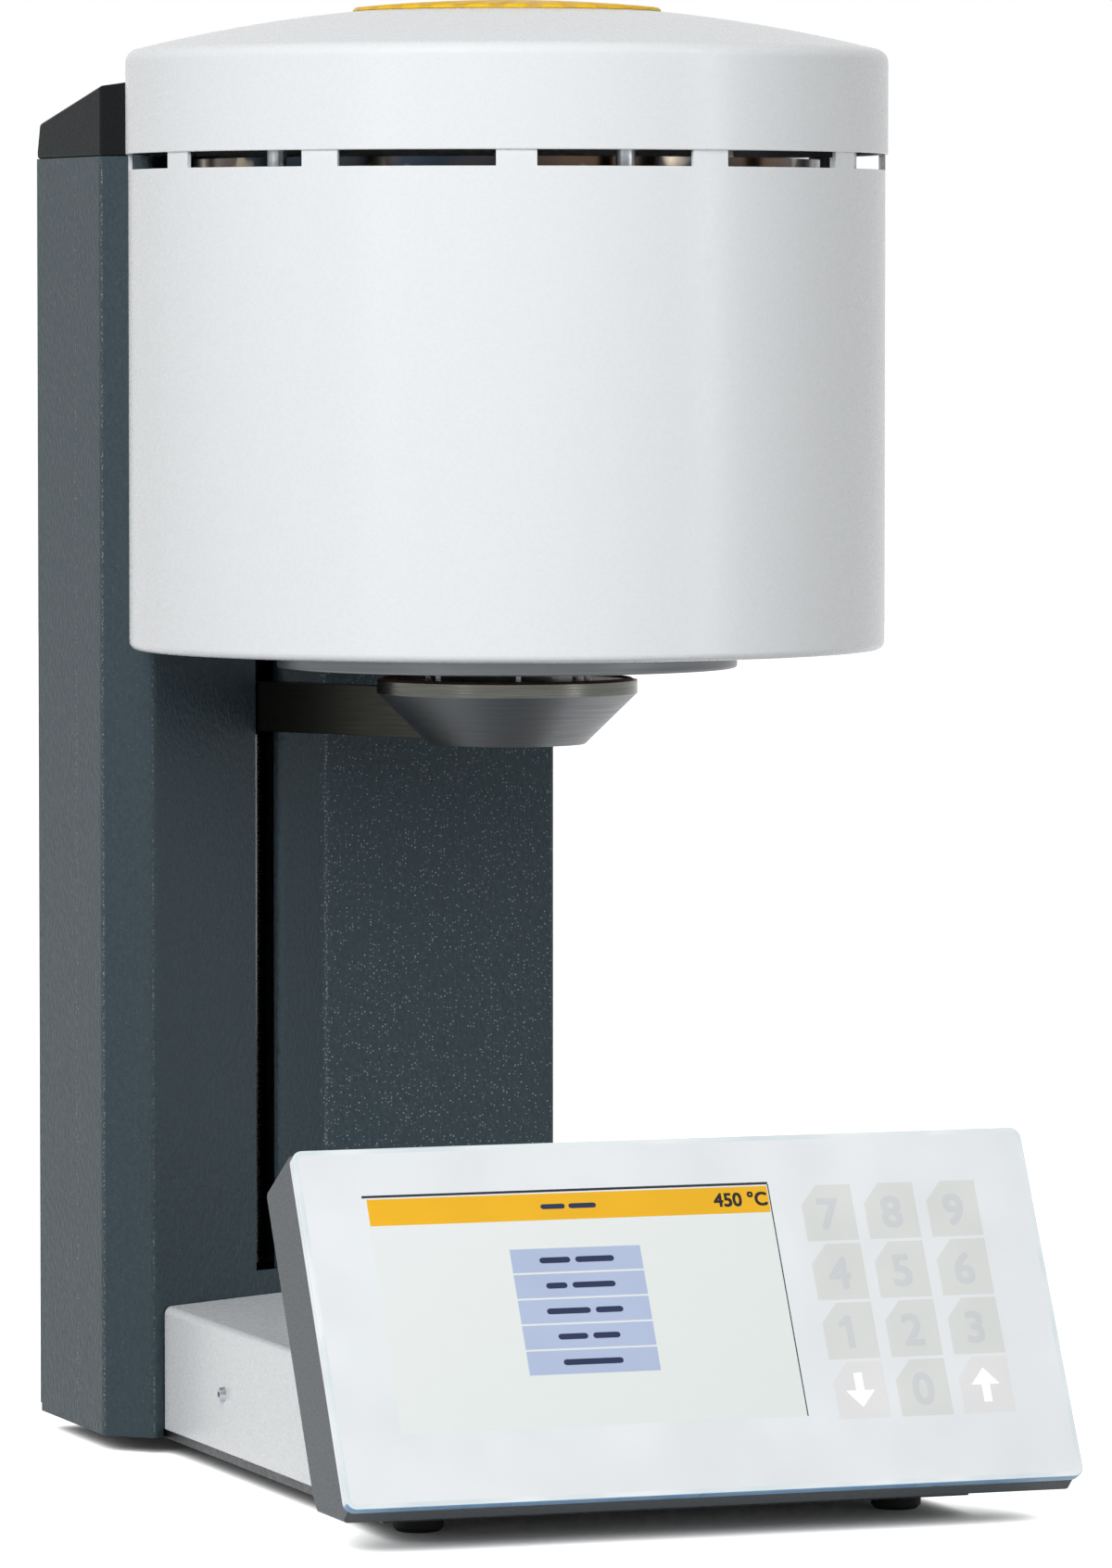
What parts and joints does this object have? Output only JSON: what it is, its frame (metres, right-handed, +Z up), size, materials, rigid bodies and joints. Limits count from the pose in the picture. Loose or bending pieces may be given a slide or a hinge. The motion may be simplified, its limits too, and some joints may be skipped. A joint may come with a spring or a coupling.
{
  "type": "dental porcelain furnace",
  "caption": "Bench firing furnace: round white head on an offset anthracite column, conical lift table, sloped glass control panel, domed lid.",
  "frame": {"origin": "centre of the bounding box at the level of the rubber feet's soles", "axes": "+X to the operator's right, +Y from the control panel towards the rear connections, +Z up along the head and the lift"},
  "size_m": [0.282, 0.4122, 0.5439],
  "materials": {
    "white_paint": "near-white fine-textured powder coat",
    "anthracite_paint": "blue-grey textured powder coat",
    "black_plastic": "satin moulded black",
    "yellow_plastic": "satin moulded golden yellow",
    "panel_glass": "clear glass printed white behind",
    "black_steel": "black coated sheet steel",
    "zinc_steel": "zinc-plated sheet steel",
    "ground_steel": "ground and polished rod",
    "satin_steel": "satin dark stainless steel",
    "polished_steel": "polished stainless sheet",
    "machined_aluminium": "machined aluminium",
    "brass": "turned brass",
    "quartz": "clear quartz",
    "ceramic_fibre": "pressed white ceramic fibre",
    "ceramic": "unglazed technical ceramic",
    "heating_wire": "oxidised resistance wire",
    "circuit_board": "green solder mask",
    "lead_sleeve": "braided glass-fibre sleeve",
    "winding_tape": "wound transformer under tape",
    "rubber": "black rubber",
    "silicone": "translucent silicone",
    "red_silicone": "red-brown heat-proof silicone"
  },
  "bodies": {
    "root": {"base_plate": "black_steel", "base_cover": "white_paint", "rubber_feet": "rubber", "case_screws": "zinc_steel", "panel_housing": "anthracite_paint", "panel_glass": "panel_glass", "display_module": "black_plastic", "keypad_board": "circuit_board", "controller_board": "circuit_board", "panel_bracket": "zinc_steel", "column_shell": "anthracite_paint", "column_back": "anthracite_paint", "column_cap": "black_plastic", "lift_frame": "black_steel", "guide_rods": "ground_steel", "lower_block": "machined_aluminium", "upper_block": "machined_aluminium", "spindle_bearings": "ground_steel", "lift_motor": "black_steel", "limit_switches": "black_plastic", "head_bracket": "zinc_steel", "head_plate": "zinc_steel", "head_shell": "white_paint", "head_lid": "white_paint", "lid_disc": "yellow_plastic", "lid_posts": "zinc_steel", "chamber_flange": "satin_steel", "heat_shield": "polished_steel", "muffle_tube": "quartz", "muffle_insulation": "ceramic_fibre", "roof_insulation": "ceramic_fibre", "heating_coil": "heating_wire", "thermocouple": "ceramic", "roof_plate": "zinc_steel", "tie_rods": "zinc_steel", "terminal_block": "ceramic", "heater_leads": "lead_sleeve", "transformer": "winding_tape", "power_board": "circuit_board", "mains_inlet": "black_plastic", "switch_frame": "black_plastic", "fuse_holder": "black_plastic", "vacuum_port": "brass", "vacuum_valve": "machined_aluminium", "vacuum_hose": "silicone", "fan_frame": "black_plastic"},
    "lift": {"lift_carriage": "machined_aluminium", "carriage_bushings": "brass", "spindle_nut": "brass", "lift_arm": "satin_steel", "arm_screws": "black_steel", "lift_table": "satin_steel", "table_seal": "red_silicone", "firing_plinth": "ceramic_fibre", "locating_pins": "ground_steel"},
    "spindle": {"lift_spindle": "ground_steel", "shaft_coupling": "machined_aluminium"},
    "rocker": {"power_rocker": "black_plastic"},
    "fan": {"fan_rotor": "black_plastic"}
  },
  "joints": [
    {"name": "lift_slide", "type": "slide", "parent": "root", "child": "lift", "axis": [0, 0, 1], "range_m": [-0.2, 0.0035]},
    {"name": "spindle_turn", "type": "hinge", "parent": "root", "child": "spindle", "pos_m": [-0.075, 0.14905, 0.106], "axis": [0, 0, 1], "range_deg": [-162, 9004]},
    {"name": "rocker_tilt", "type": "hinge", "parent": "root", "child": "rocker", "pos_m": [0.03, 0.18715, 0.092], "axis": [1, 0, 0], "range_deg": [0, 16]},
    {"name": "fan_spin", "type": "hinge", "parent": "root", "child": "fan", "pos_m": [0.012, 0.18015, 0.446], "axis": [0, 1, 0], "continuous": true}
  ],
  "couplings": [
    {"joint": "spindle_turn", "follows": "lift_slide", "rad_per_m": -785.4}
  ]
}
